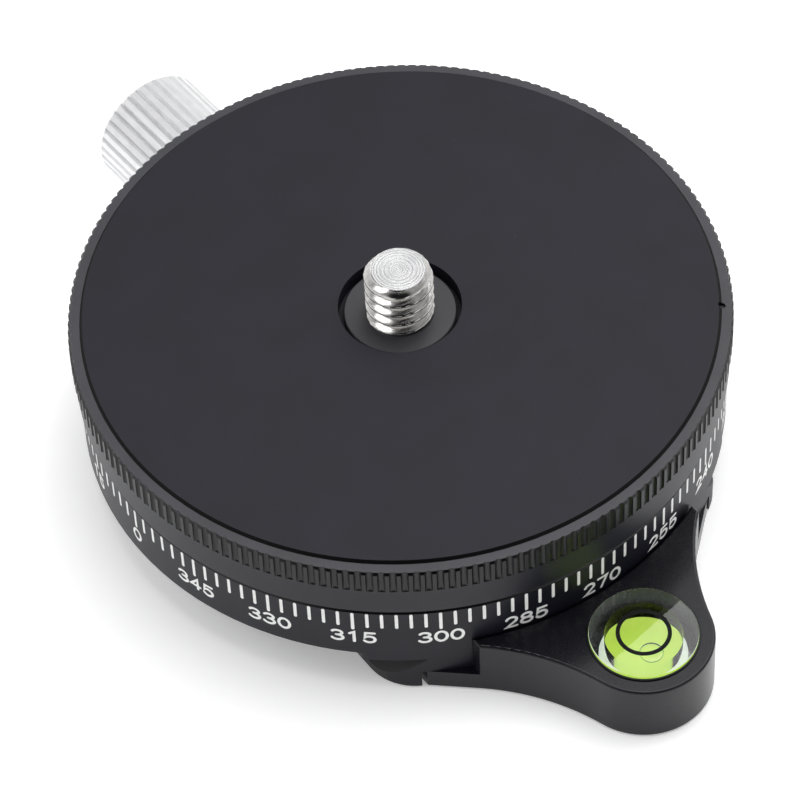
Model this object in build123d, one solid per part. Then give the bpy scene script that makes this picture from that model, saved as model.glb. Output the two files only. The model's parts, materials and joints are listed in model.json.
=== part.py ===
"""Panoramic tripod base: a camera plate that turns on a housing with a degree scale.

Frame: +Z up, origin on the rotation axis at the underside of the foot, -Y towards the bubble level,
+Y towards the lock knob. Millimetres and degrees.
"""
from build123d import *
import os
from math import asin, cos, degrees, radians, sin, sqrt

# Housing
BASE_R = 30.0               # outer radius of the scale wall
RING_TOP_Z = 11.55          # upper face of the housing
FOOT_H = 5.15               # lower edge of the scale wall over the foot's underside
FOOT_HALF_W = 19.0          # half the width of the dovetail foot
FOOT_LAND_H = 1.1           # upright land at the foot of the dovetail
FOOT_NECK_HALF_W = 15.9     # half the width of the dovetail's neck
FOOT_CORNER_R = 5.0         # rounding of the foot's four corners
SHOULDER_OUT = 1.5          # how far the shoulder over the dovetail stands out of the foot
SHOULDER_CORNER_R = 1.0     # rounding of the shoulder's four corners
RING_EDGE = 0.42            # chamfer on the upper edge of the scale wall
FOOT_EDGE = 0.2             # chamfer on the lower edge of the foot
WEB_Z = 4.7                 # underside of the web that carries the bearing

# Rotating plate
SEAM_GAP = 0.12             # height of the open seam between housing and plate
TOP_Z = 17.9                # upper face of the raised disc
GRIP_OUT = 0.4              # how far the grip stands out of the scale wall
BAND_OUT = 0.2              # how far the plain band under the grip stands out of the scale wall
RIM_W = 1.35                # from the raised disc's face out to the grip
DISC_CHAMFER = 0.26         # chamfer round the raised disc
RIM_DROP = 0.05             # slope of the rim ledge from the disc to the edge
RIM_CHAMFER = 0.2           # chamfer on the outer edge of the rim
PLATE_EDGE = 0.12           # chamfer on the lower edge of the plate
FLUTE_COUNT = 184           # grip flutes round the plate
FLUTE_DEPTH = 0.3           # depth of a grip flute
FLUTE_W = 0.68              # width of a grip flute at its mouth
FLUTE_LOW_Z = 14.8          # lower end of the grip flutes
RECESS_R = 5.68             # recess round the camera screw
NICK_ANGLE = -37.4          # index nick on the rim, from +X
NICK_R = 0.35               # radius of the index nick

# Hub and its bearing
HUB_R = 11.5
HUB_WALL = 3.9
HUB_SEAT_DEPTH = 0.8        # spigot of the hub in the underside of the plate
RETAINER_H = 1.4
RETAINER_LAP = 2.1          # how far the retaining plate stands out of the hub
RETAINER_BORE_EXTRA = 0.3   # its bore is this much larger than the hub's
BUSH_WALL = 0.9
BUSH_TOP_DROP = 0.4         # the bush ends this far under the housing's upper face
RETAINER_SIDE_GAP = 0.3     # room beside the retaining plate
RUN_GAP = 0.05              # radial running clearance
SLIDE_GAP = 0.02            # axial running clearance
SEAT_GAP = 0.01             # clearance of a part pressed or bonded in its seat
LOWER_WASHER_H = 0.36
LOWER_WASHER_CLEARANCE = 0.15   # from the bush to the lower washer
UPPER_WASHER_W = 6.0
UPPER_WASHER_INSET = 4.0    # from the scale wall in to the washer
UPPER_WASHER_GROOVE = 0.5
WASHER_SIDE_GAP = 0.1       # room beside a slide washer
HUB_SCREW_COUNT = 4
HUB_SCREW_TURN = 45.0
HUB_SCREW_TIP_Z = 15.0
M25_R = 1.25                # shank of an M2.5 screw
M25_HEAD_R = 2.2
M25_HEAD_H = 1.05
DRIVE_R = 0.75              # hexagon socket of an M2.5 screw
DRIVE_DEPTH = 0.7

# Tripod socket, 3/8 inch-16
SOCKET_FLANGE_LAP = 0.4     # how far the flange covers the retaining plate's counterbore
SOCKET_FLANGE_H = 2.55
SOCKET_BOSS_CLEARANCE = 0.4     # from the boss to the hub's bore
SOCKET_BOSS_TOP_Z = 9.3
SOCKET_BORE_R = 4.05        # crest radius of the 3/8 inch-16 thread
SOCKET_BORE_H = 8.4
SOCKET_MOUTH_H = 0.7        # countersink at the socket's mouth
SPANNER_HOLE_R = 1.1
SPANNER_HOLE_DEPTH = 1.4
SPANNER_HOLE_INSET = 3.5    # from the flange's edge to the middle of a spanner hole

# Camera screw, 1/4 inch-20, and its seat
STUD_R = 3.175
STUD_TOP_Z = 22.9
STUD_CHAMFER = 0.65
STUD_SHANK_R = 2.9
STUD_COLLAR_R = 4.2
STUD_COLLAR_H = 0.7
SEAT_HEAD_R = 5.2
SEAT_HEAD_H = 0.9
SEAT_TOP_DROP = 0.7         # flange of the seat under the disc's face
SEAT_SHANK_R = 4.85
SEAT_SHANK_H = 3.0
SEAT_EDGE = 0.12

# Lock knob, screw and brake shoe
LOCK_ANGLE = 92.2           # direction of the lock axis, from +X
LOCK_Z = 8.44
SHOE_R = 2.2
SHOE_GAP = 0.35             # rest gap between the brake shoe and the hub
SHOE_LENGTH = 8.5           # from the hub's face to the back of the shoe
SHOE_BORE_EXTRA = 1.3       # the shoe's bore ends this far behind the shoe, for its travel
LOCK_SCREW_R = 2.0
LOCK_SCREW_TIP = 0.4        # chamfer at the tip of the lock screw
KNOB_R = 5.85
KNOB_STAND_OFF = 1.25       # from the scale wall to the knob's inner end
KNOB_LENGTH = 9.6
KNOB_CHAMFER = 0.8
KNOB_FLUTE_COUNT = 36
KNOB_FLUTE_DEPTH = 0.34
KNOB_FLUTE_W = 0.5
KNOB_BORE_DEPTH = 7.4       # how far the lock screw goes into the knob
KNOB_HUB_R = 4.2            # raised inner collar of the knob
KNOB_HUB_H = 0.25
GRUB_R = 1.0
GRUB_PLACE_SHARE = 0.5      # grub screw along the knob
GRUB_LENGTH = 3.1
GRUB_HEX_R = 0.5
GRUB_HEX_DEPTH = 0.9
KNOB_WASHER_R = 4.6
KNOB_WASHER_H = 0.4

# Level bracket
BRACKET_H = 6.6
BRACKET_HALF_W = 12.42      # half the width of the tall part at the housing
BRACKET_CORNER_OUT = 1.1    # how far those corners stand out of the scale wall
BRACKET_WALL_GAP = 0.15     # gap between the bracket and the scale wall
EAR_R = 6.43                # rounded end of the ear
EAR_REACH = 12.69           # how far the ear's tip stands out of the scale wall
EAR_TURN = 18.0             # where the ear's round end takes over, degrees past its widest place
LIP_H = 2.3
LIP_END_IN = 0.05           # the lip's ends lie this far inside the scale wall's radius
LIP_CORNER_R = 0.25
TONGUE_HALF_W = 15.98
TONGUE_CLEARANCE = 2.7      # from the tripod socket's flange to the tongue
TONGUE_POCKET_GAP = 0.45    # slot beside the tongue
TONGUE_END_GAP = 0.15
BRACKET_EDGE = 0.25         # rounding of the bracket's upper edge
BRACKET_LOW_EDGE = 0.2
BRACKET_SCREW_X = 9.0
BRACKET_SCREW_PLACE_SHARE = 0.54    # along the tongue, from its inner end to the scale wall
BRACKET_SCREW_TIP_Z = 8.0

# Bubble level
VIAL_R = 5.1
VIAL_TIP_WALL = 1.3         # wall between the vial and the ear's tip
VIAL_POCKET_Z = 1.4
VIAL_BACKING_H = 0.3
VIAL_BACKING_R = 4.0
VIAL_FLOOR_H = 1.8
VIAL_WALL = 1.56
VIAL_CUP_TOP_DROP = 0.35    # rim of the cup under the bracket's face
LENS_H = 0.65
LENS_CHAMFER = 0.15
LENS_HOLLOW = 0.2           # hollow in the underside of the lens
TARGET_RING_OUT_R = 2.51
TARGET_RING_IN_R = 2.13
TARGET_RING_H = 0.1
TARGET_RING_PROUD = 0.03    # how far the ring stands out of the lens

OVERRUN = 2.0               # how far every cutter runs past what it cuts

# Worked out from the sizes above
PLATE_LOW_Z = RING_TOP_Z + SEAM_GAP
GRIP_R = BASE_R + GRIP_OUT
BAND_R = BASE_R + BAND_OUT
DISC_R = GRIP_R - RIM_W
SHOULDER_HALF_W = FOOT_HALF_W + SHOULDER_OUT
SHOULDER_LOW_Z = FOOT_LAND_H + FOOT_HALF_W - FOOT_NECK_HALF_W
UPPER_WASHER_OUT_R = BASE_R - UPPER_WASHER_INSET
UPPER_WASHER_IN_R = UPPER_WASHER_OUT_R - UPPER_WASHER_W
BUSH_OUT_R = HUB_R + RUN_GAP + BUSH_WALL
HUB_BORE_R = HUB_R - HUB_WALL
HUB_SCREW_PCR = (HUB_R + HUB_BORE_R) / 2
RETAINER_R = HUB_R + RETAINER_LAP
RETAINER_BORE_R = HUB_BORE_R + RETAINER_BORE_EXTRA
COUNTERBORE_R = RETAINER_R + RETAINER_SIDE_GAP
LOWER_WASHER_IN_R = BUSH_OUT_R + LOWER_WASHER_CLEARANCE
SOCKET_FLANGE_R = COUNTERBORE_R + SOCKET_FLANGE_LAP
SOCKET_BOSS_R = HUB_BORE_R - SOCKET_BOSS_CLEARANCE
SPANNER_HOLE_PCR = SOCKET_FLANGE_R - SPANNER_HOLE_INSET
SHOE_BACK_R = HUB_R + SHOE_LENGTH
KNOB_IN_R = BASE_R + KNOB_STAND_OFF
KNOB_OUT_R = KNOB_IN_R + KNOB_LENGTH
BRACKET_CORNER_R = BASE_R + BRACKET_CORNER_OUT
EAR_TIP_R = BASE_R + EAR_REACH
EAR_Y = EAR_TIP_R - EAR_R
TONGUE_IN_R = SOCKET_FLANGE_R + TONGUE_CLEARANCE
BRACKET_SCREW_Y = TONGUE_IN_R + (BASE_R - TONGUE_IN_R) * BRACKET_SCREW_PLACE_SHARE
VIAL_CENTRE_R = EAR_TIP_R - VIAL_TIP_WALL - VIAL_R
HUB_LOW_Z = WEB_Z - LOWER_WASHER_H - SLIDE_GAP
RETAINER_LOW_Z = HUB_LOW_Z - RETAINER_H
HUB_TOP_Z = PLATE_LOW_Z + HUB_SEAT_DEPTH
SEAT_TOP_Z = TOP_Z - SEAT_TOP_DROP
RECESS_FLOOR_Z = SEAT_TOP_Z - SEAT_HEAD_H
SEAT_LOW_Z = RECESS_FLOOR_Z - SEAT_SHANK_H
COLLAR_LOW_Z = SEAT_LOW_Z - STUD_COLLAR_H
VIAL_CUP_LOW_Z = VIAL_POCKET_Z + VIAL_BACKING_H
VIAL_CUP_TOP_Z = BRACKET_H - VIAL_CUP_TOP_DROP
VIAL_CAVITY_R = VIAL_R - VIAL_WALL
VIAL_LIQUID_LOW_Z = VIAL_CUP_LOW_Z + VIAL_FLOOR_H


def disc(radius, low, high, centre=(0, 0)):
    """Upright cylinder between two heights."""
    return Pos(centre[0], centre[1], (low + high) / 2) * Cylinder(radius, high - low)


def tube(out_r, in_r, low, high, centre=(0, 0)):
    """Upright ring between two heights."""
    return disc(out_r, low, high, centre) - disc(in_r, low - OVERRUN, high + OVERRUN, centre)


def turned(points):
    """Solid turned about +Z from an outline of (radius, height) points."""
    outline = Polyline([Vector(r, 0, z) for r, z in points], close=True)
    return revolve(make_face(outline), Axis.Z)


def along_lock(shape, angle=LOCK_ANGLE):
    """Turns a shape made on +Z so that its +Z points outwards along the lock axis."""
    out = Vector(cos(radians(angle)), sin(radians(angle)), 0)
    side = Vector(-sin(radians(angle)), cos(radians(angle)), 0)
    return Plane(origin=(0, 0, LOCK_Z), x_dir=side, z_dir=out) * shape


def polar(radius, angle):
    """Point on a circle round the rotation axis."""
    return radius * cos(radians(angle)), radius * sin(radians(angle))


def countersunk_screw(x, y, low, tip):
    """Countersunk socket screw whose head is flush with the height low and whose tip points up."""
    head = Pos(x, y, low + M25_HEAD_H / 2) * Cone(M25_HEAD_R, M25_R, M25_HEAD_H)
    shank = disc(M25_R, low + M25_HEAD_H, tip, (x, y))
    hexagon = Pos(x, y, low) * extrude(RegularPolygon(DRIVE_R, 6), DRIVE_DEPTH)
    return head + shank - hexagon


def countersunk_hole(x, y, low, tip):
    """Cutter for the screw above, with its seat clearance."""
    wide = M25_HEAD_R + SEAT_GAP
    narrow = M25_R + SEAT_GAP
    head = Pos(x, y, low + M25_HEAD_H / 2) * Cone(wide, narrow, M25_HEAD_H)
    mouth = disc(wide, low - OVERRUN, low, (x, y))
    return mouth + head + disc(narrow, low, tip + SEAT_GAP, (x, y))


def hub_screw_places():
    """Centres of the hub screws."""
    turn = 360 / HUB_SCREW_COUNT
    return [polar(HUB_SCREW_PCR, HUB_SCREW_TURN + i * turn) for i in range(HUB_SCREW_COUNT)]


def bracket_screw_places():
    """Centres of the two bracket screws."""
    return [(side * BRACKET_SCREW_X, -BRACKET_SCREW_Y) for side in (-1, 1)]


def ear_flank():
    """Concave run on the +X side, from the housing corner and tangent into the ear's round end."""
    turn = radians(EAR_TURN)
    corner = Vector(BRACKET_HALF_W, -sqrt(BRACKET_CORNER_R ** 2 - BRACKET_HALF_W ** 2))
    ear = Vector(0, -EAR_Y)
    out = Vector(cos(turn), -sin(turn))
    to_corner = corner - ear
    reach = (to_corner.dot(to_corner) - EAR_R ** 2) / (2 * (out.dot(to_corner) - EAR_R))
    centre = ear + out * reach
    end = ear + out * EAR_R
    middle = centre + ((corner + end) / 2 - centre).normalized() * (reach - EAR_R)
    return corner, middle, end


def ear_outline():
    """Plan of the tall part of the bracket, with a straight back far inside the housing wall."""
    corner, middle, end = ear_flank()
    mirrored = [Vector(-point.X, point.Y) for point in (end, middle, corner)]
    return make_face([
        ThreePointArc(corner, middle, end),
        ThreePointArc(end, Vector(0, -EAR_TIP_R), mirrored[0]),
        ThreePointArc(*mirrored),
        Polyline(mirrored[2], (-BRACKET_HALF_W, -TONGUE_IN_R), (BRACKET_HALF_W, -TONGUE_IN_R), corner),
    ])


def round_ended(half_w, corner_r):
    """Plan with straight sides along Y and ends on the scale wall's circle, its corners rounded."""
    end_y = sqrt(BASE_R ** 2 - half_w ** 2)
    plan = make_face([
        Line((half_w, end_y), (half_w, -end_y)),
        ThreePointArc((half_w, -end_y), (0, -BASE_R), (-half_w, -end_y)),
        Line((-half_w, -end_y), (-half_w, end_y)),
        ThreePointArc((-half_w, end_y), (0, BASE_R), (half_w, end_y)),
    ])
    return fillet(plan.vertices(), corner_r)


def make_base_housing():
    """Housing with scale wall, bearing web, dovetail foot, brake bore and bracket pocket."""
    wall = turned([
        (0, FOOT_H),
        (BASE_R, FOOT_H),
        (BASE_R, RING_TOP_Z - RING_EDGE),
        (BASE_R - RING_EDGE, RING_TOP_Z),
        (0, RING_TOP_Z),
    ])
    shoulder = round_ended(SHOULDER_HALF_W, SHOULDER_CORNER_R)
    shoulder = Pos(0, 0, SHOULDER_LOW_Z) * extrude(shoulder, FOOT_H - SHOULDER_LOW_Z)
    foot = extrude(round_ended(FOOT_HALF_W, FOOT_CORNER_R), FOOT_H)
    foot = chamfer(foot.edges().group_by(Axis.Z)[0], FOOT_EDGE)
    for side in (-1, 1):
        section = Polyline(
            (side * (FOOT_HALF_W + OVERRUN), 0, FOOT_LAND_H - OVERRUN),
            (side * FOOT_NECK_HALF_W, 0, SHOULDER_LOW_Z),
            (side * FOOT_NECK_HALF_W, 0, FOOT_H),
            (side * (FOOT_HALF_W + OVERRUN), 0, FOOT_H),
            close=True,
        )
        foot -= extrude(make_face(section), 2 * BASE_R, dir=(0, 1, 0), both=True)
    body = wall + shoulder + foot
    body -= disc(SOCKET_FLANGE_R + SEAT_GAP, -OVERRUN, SOCKET_FLANGE_H + SEAT_GAP)
    body -= disc(COUNTERBORE_R, -OVERRUN, WEB_Z)
    body -= disc(BUSH_OUT_R + SEAT_GAP, -OVERRUN, RING_TOP_Z + OVERRUN)
    body -= tube(
        UPPER_WASHER_OUT_R + WASHER_SIDE_GAP,
        UPPER_WASHER_IN_R - WASHER_SIDE_GAP,
        RING_TOP_Z - UPPER_WASHER_GROOVE,
        RING_TOP_Z + OVERRUN,
    )
    shoe_bore = disc(SHOE_R + RUN_GAP, 0, SHOE_BACK_R + SHOE_BORE_EXTRA)
    screw_bore = disc(LOCK_SCREW_R + RUN_GAP, 0, BASE_R + OVERRUN)
    body -= along_lock(shoe_bore + screw_bore)
    pocket_half = TONGUE_HALF_W + TONGUE_POCKET_GAP
    body -= Pos(0, -(TONGUE_IN_R - TONGUE_END_GAP), LIP_H / 2 + SEAT_GAP / 2) * Box(
        2 * pocket_half, BASE_R, LIP_H + SEAT_GAP, align=(Align.CENTER, Align.MAX, Align.CENTER)
    )
    for x, y in bracket_screw_places():
        body -= disc(M25_R + SEAT_GAP, 0, BRACKET_SCREW_TIP_Z + SEAT_GAP, (x, y))
    return body


def make_journal_bush():
    """Bronze sleeve round the hub, with a window for the brake shoe."""
    sleeve = tube(BUSH_OUT_R, HUB_R + RUN_GAP, WEB_Z, RING_TOP_Z - BUSH_TOP_DROP)
    return sleeve - along_lock(disc(SHOE_R + WASHER_SIDE_GAP, 0, BUSH_OUT_R + OVERRUN))


def make_upper_slide_washer():
    """Ring in the groove of the housing that carries the plate."""
    low = RING_TOP_Z - UPPER_WASHER_GROOVE
    return tube(UPPER_WASHER_OUT_R, UPPER_WASHER_IN_R, low, PLATE_LOW_Z - SLIDE_GAP)


def make_lower_slide_washer():
    """Ring between the web and the retaining plate."""
    return tube(RETAINER_R, LOWER_WASHER_IN_R, WEB_Z - LOWER_WASHER_H, WEB_Z)


def make_socket_insert():
    """Tripod socket: a threaded flange with a boss that stands inside the hub."""
    body = disc(SOCKET_FLANGE_R, 0, SOCKET_FLANGE_H) + disc(SOCKET_BOSS_R, 0, SOCKET_BOSS_TOP_Z)
    body -= disc(SOCKET_BORE_R, -OVERRUN, SOCKET_BORE_H)
    wide = SOCKET_BORE_R + SOCKET_MOUTH_H
    body -= Pos(0, 0, SOCKET_MOUTH_H / 2) * Cone(wide, SOCKET_BORE_R, SOCKET_MOUTH_H)
    for side in (-1, 1):
        place = (side * SPANNER_HOLE_PCR, 0)
        body -= disc(SPANNER_HOLE_R, -OVERRUN, SPANNER_HOLE_DEPTH, place)
    return body


def make_level_bracket():
    """Ear for the bubble level, with the lip and tongue that hold it under the housing."""
    ear = extrude(ear_outline(), BRACKET_H)
    outline = ear.edges().group_by(Axis.Z)[0].filter_by(lambda e: e.center().Y < -BASE_R)
    ear = chamfer(outline, BRACKET_LOW_EDGE)
    ear -= disc(BASE_R + BRACKET_WALL_GAP, LIP_H, BRACKET_H + OVERRUN)
    top_edges = ear.edges().filter_by(lambda e: e.center().Z > BRACKET_H - BRACKET_EDGE)
    ear = fillet(top_edges, BRACKET_EDGE)
    corner = ear_flank()[0]
    lip_y = sqrt((BASE_R - LIP_END_IN) ** 2 - TONGUE_HALF_W ** 2)
    side = [(TONGUE_HALF_W, -TONGUE_IN_R), (TONGUE_HALF_W, -lip_y), (corner.X, corner.Y)]
    mirrored = [(-x, y) for x, y in reversed(side)]
    plan = make_face(Polyline(*side, *mirrored, close=True))
    ends = [v for v in plan.vertices() if abs(v.X) > BRACKET_HALF_W + LIP_CORNER_R and v.Y < -TONGUE_IN_R - LIP_CORNER_R]
    lip = extrude(fillet(ends, LIP_CORNER_R), LIP_H)
    front = lip.edges().group_by(Axis.Z)[0].filter_by(
        lambda e: e.center().Y < -lip_y and abs(e.center().X) > BRACKET_HALF_W
    )
    body = ear + chamfer(front, BRACKET_LOW_EDGE)
    body -= disc(VIAL_R + SEAT_GAP, VIAL_POCKET_Z, BRACKET_H + OVERRUN, (0, -VIAL_CENTRE_R))
    for x, y in bracket_screw_places():
        body -= countersunk_hole(x, y, 0, LIP_H + OVERRUN)
    return body


def make_bracket_screws():
    """Two countersunk screws from beneath."""
    tip = BRACKET_SCREW_TIP_Z
    return [countersunk_screw(x, y, 0, tip) for x, y in bracket_screw_places()]


def vial_at(shape):
    """Moves a shape made on the origin to the vial's axis."""
    return Pos(0, -VIAL_CENTRE_R, 0) * shape


def lens_hollow():
    """Shallow spherical hollow under the lens, which keeps the bubble centred."""
    radius = (VIAL_CAVITY_R ** 2 + LENS_HOLLOW ** 2) / (2 * LENS_HOLLOW)
    ball = Pos(0, 0, VIAL_CUP_TOP_Z + LENS_HOLLOW - radius) * Sphere(radius)
    keep = disc(VIAL_CAVITY_R, VIAL_CUP_TOP_Z, VIAL_CUP_TOP_Z + LENS_HOLLOW + OVERRUN)
    return ball & keep


def make_vial_backing():
    """Pale disc under the cup."""
    return vial_at(disc(VIAL_BACKING_R, VIAL_POCKET_Z, VIAL_CUP_LOW_Z))


def make_vial_cup():
    """Clear cup."""
    cup = disc(VIAL_R, VIAL_CUP_LOW_Z, VIAL_CUP_TOP_Z)
    cup -= disc(VIAL_CAVITY_R, VIAL_LIQUID_LOW_Z, VIAL_CUP_TOP_Z + OVERRUN)
    return vial_at(cup)


def target_ring():
    """Black ring let into the top of the lens."""
    top = VIAL_CUP_TOP_Z + LENS_H + TARGET_RING_PROUD
    return tube(TARGET_RING_OUT_R, TARGET_RING_IN_R, top - TARGET_RING_H, top)


def make_vial_liquid():
    """Liquid that fills the cup up to the lens."""
    liquid = disc(VIAL_CAVITY_R, VIAL_LIQUID_LOW_Z, VIAL_CUP_TOP_Z) + lens_hollow()
    return vial_at(liquid)


def make_vial_lens():
    """Flat window with a chamfered rim and a hollow underneath."""
    top = VIAL_CUP_TOP_Z + LENS_H
    lens = turned([
        (0, VIAL_CUP_TOP_Z),
        (VIAL_R, VIAL_CUP_TOP_Z),
        (VIAL_R, top - LENS_CHAMFER),
        (VIAL_R - LENS_CHAMFER, top),
        (0, top),
    ])
    return vial_at(lens - lens_hollow() - target_ring())


def make_vial_ring():
    """The target ring at its place."""
    return vial_at(target_ring())


def grip_flute():
    """Section of one grip flute: a circle that bites into the grip at +X."""
    half = FLUTE_W / 2
    radius = (half ** 2 + FLUTE_DEPTH ** 2) / (2 * FLUTE_DEPTH)
    return GRIP_R - FLUTE_DEPTH + radius, radius


def fluted_band():
    """Plan of the fluted wall: arcs round the grip with a round notch at every step."""
    centre_r, radius = grip_flute()
    half_angle = degrees(asin(FLUTE_W / 2 / GRIP_R))
    step = 360 / FLUTE_COUNT
    edges = []
    for i in range(FLUTE_COUNT):
        middle = i * step
        start = polar(GRIP_R, middle - half_angle)
        bottom = polar(centre_r - radius, middle)
        end = polar(GRIP_R, middle + half_angle)
        land_middle = polar(GRIP_R, middle + step / 2)
        land_end = polar(GRIP_R, middle + step - half_angle)
        edges.append(ThreePointArc(start, bottom, end))
        edges.append(ThreePointArc(end, land_middle, land_end))
    return make_face(edges)


def make_top_plate():
    """Rotating plate: raised disc, sloping rim, fluted grip, plain band."""
    ledge_r = DISC_R + DISC_CHAMFER
    ledge_z = TOP_Z - DISC_CHAMFER
    rim_r = GRIP_R - RIM_CHAMFER
    rim_z = ledge_z - RIM_DROP
    blank = turned([
        (0, PLATE_LOW_Z),
        (BAND_R - PLATE_EDGE, PLATE_LOW_Z),
        (BAND_R, PLATE_LOW_Z + PLATE_EDGE),
        (BAND_R, FLUTE_LOW_Z),
        (GRIP_R, FLUTE_LOW_Z + GRIP_R - BAND_R),
        (GRIP_R, rim_z - RIM_CHAMFER),
        (rim_r, rim_z),
        (ledge_r, ledge_z),
        (DISC_R, TOP_Z),
        (0, TOP_Z),
    ])
    ring_low = disc(GRIP_R + OVERRUN, PLATE_LOW_Z - OVERRUN, FLUTE_LOW_Z)
    grip = Pos(0, 0, FLUTE_LOW_Z) * extrude(fluted_band(), TOP_Z - FLUTE_LOW_Z + OVERRUN)
    plate = blank & (ring_low + grip)
    plate -= disc(RECESS_R, RECESS_FLOOR_Z, TOP_Z + OVERRUN)
    plate -= disc(SEAT_SHANK_R + SEAT_GAP, SEAT_LOW_Z, TOP_Z)
    plate -= disc(STUD_COLLAR_R + SEAT_GAP, COLLAR_LOW_Z, TOP_Z)
    plate -= tube(HUB_R + SEAT_GAP, HUB_BORE_R - SEAT_GAP, PLATE_LOW_Z - OVERRUN, HUB_TOP_Z)
    for x, y in hub_screw_places():
        plate -= disc(M25_R + SEAT_GAP, PLATE_LOW_Z, HUB_SCREW_TIP_Z + SEAT_GAP, (x, y))
    nick_x, nick_y = polar(DISC_R + DISC_CHAMFER, NICK_ANGLE)
    plate -= disc(NICK_R, ledge_z - NICK_R, TOP_Z + OVERRUN, (nick_x, nick_y))
    return plate


def make_hub():
    """Steel hub that turns in the bush."""
    hub = tube(HUB_R, HUB_BORE_R, HUB_LOW_Z, HUB_TOP_Z)
    for x, y in hub_screw_places():
        hub -= disc(M25_R + SEAT_GAP, HUB_LOW_Z - OVERRUN, HUB_TOP_Z + OVERRUN, (x, y))
    return hub


def make_retaining_plate():
    """Annular plate under the hub."""
    plate = tube(RETAINER_R, RETAINER_BORE_R, RETAINER_LOW_Z, HUB_LOW_Z)
    for x, y in hub_screw_places():
        plate -= countersunk_hole(x, y, RETAINER_LOW_Z, HUB_LOW_Z + OVERRUN)
    return plate


def make_hub_screws():
    """Countersunk screws through the retaining plate and the hub."""
    places = hub_screw_places()
    return [countersunk_screw(x, y, RETAINER_LOW_Z, HUB_SCREW_TIP_Z) for x, y in places]


def make_screw_seat():
    """Threaded bush with the flange that shows in the recess."""
    head = disc(SEAT_HEAD_R, RECESS_FLOOR_Z, SEAT_TOP_Z)
    head = chamfer(head.edges().group_by(Axis.Z)[-1], SEAT_EDGE)
    seat = head + disc(SEAT_SHANK_R, SEAT_LOW_Z, RECESS_FLOOR_Z)
    return seat - disc(STUD_SHANK_R + SEAT_GAP, SEAT_LOW_Z - OVERRUN, SEAT_TOP_Z + OVERRUN)


def make_camera_screw():
    """Stud with a collar under the seat."""
    free = disc(STUD_R, SEAT_TOP_Z, STUD_TOP_Z)
    free = chamfer(free.edges().group_by(Axis.Z)[-1], STUD_CHAMFER)
    shank = disc(STUD_SHANK_R, SEAT_LOW_Z, SEAT_TOP_Z)
    return free + shank + disc(STUD_COLLAR_R, COLLAR_LOW_Z, SEAT_LOW_Z)


def make_brake_shoe():
    """Plug with a hollow end that fits the hub."""
    plug = along_lock(disc(SHOE_R, HUB_R, SHOE_BACK_R))
    return plug - disc(HUB_R + SHOE_GAP, 0, RING_TOP_Z)


def make_lock_screw():
    """Lock screw, from the back of the shoe into the knob."""
    screw = disc(LOCK_SCREW_R, SHOE_BACK_R + SLIDE_GAP, KNOB_IN_R + KNOB_BORE_DEPTH)
    return along_lock(chamfer(screw.edges().group_by(Axis.Z)[0], LOCK_SCREW_TIP))


def knob_plan():
    """Section of the knob: a circle with V flutes."""
    step = 360 / KNOB_FLUTE_COUNT
    half = degrees(asin(KNOB_FLUTE_W / 2 / KNOB_R))
    edges = []
    for i in range(KNOB_FLUTE_COUNT):
        middle = i * step
        start = polar(KNOB_R, middle - half)
        bottom = polar(KNOB_R - KNOB_FLUTE_DEPTH, middle)
        end = polar(KNOB_R, middle + half)
        land_middle = polar(KNOB_R, middle + step / 2)
        land_end = polar(KNOB_R, middle + step - half)
        edges += [Line(start, bottom), Line(bottom, end), ThreePointArc(end, land_middle, land_end)]
    return make_face(edges)


def grub_place():
    """Distance of the grub screw from the rotation axis."""
    return KNOB_IN_R + (KNOB_OUT_R - KNOB_IN_R) * GRUB_PLACE_SHARE


def make_lock_knob():
    """Fluted knob with chamfered ends and an inner collar."""
    blank = turned([
        (0, KNOB_IN_R),
        (KNOB_R - KNOB_CHAMFER, KNOB_IN_R),
        (KNOB_R, KNOB_IN_R + KNOB_CHAMFER),
        (KNOB_R, KNOB_OUT_R - KNOB_CHAMFER),
        (KNOB_R - KNOB_CHAMFER, KNOB_OUT_R),
        (0, KNOB_OUT_R),
    ])
    length = KNOB_OUT_R - KNOB_IN_R
    knob = blank & Pos(0, 0, KNOB_IN_R) * extrude(knob_plan(), length)
    knob += disc(KNOB_HUB_R, KNOB_IN_R - KNOB_HUB_H, KNOB_IN_R)
    knob -= disc(LOCK_SCREW_R + SEAT_GAP, 0, KNOB_IN_R + KNOB_BORE_DEPTH + SEAT_GAP)
    bore = disc(GRUB_R + SEAT_GAP, 0, KNOB_R + OVERRUN)
    knob -= Pos(0, 0, grub_place()) * Rot(90, 0, 0) * bore
    return along_lock(knob)


def make_knob_grub_screw():
    """Set screw against the lock screw, from beneath."""
    grub = disc(GRUB_R, LOCK_SCREW_R + SEAT_GAP, LOCK_SCREW_R + GRUB_LENGTH)
    top = LOCK_SCREW_R + GRUB_LENGTH
    grub -= Pos(0, 0, top - GRUB_HEX_DEPTH) * extrude(RegularPolygon(GRUB_HEX_R, 6), GRUB_HEX_DEPTH)
    return along_lock(Pos(0, 0, grub_place()) * Rot(90, 0, 0) * grub)


def make_knob_washer():
    """Thin washer on the lock screw, against the knob's collar."""
    high = KNOB_IN_R - KNOB_HUB_H
    return along_lock(tube(KNOB_WASHER_R, LOCK_SCREW_R + SEAT_GAP, high - KNOB_WASHER_H, high))


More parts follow.
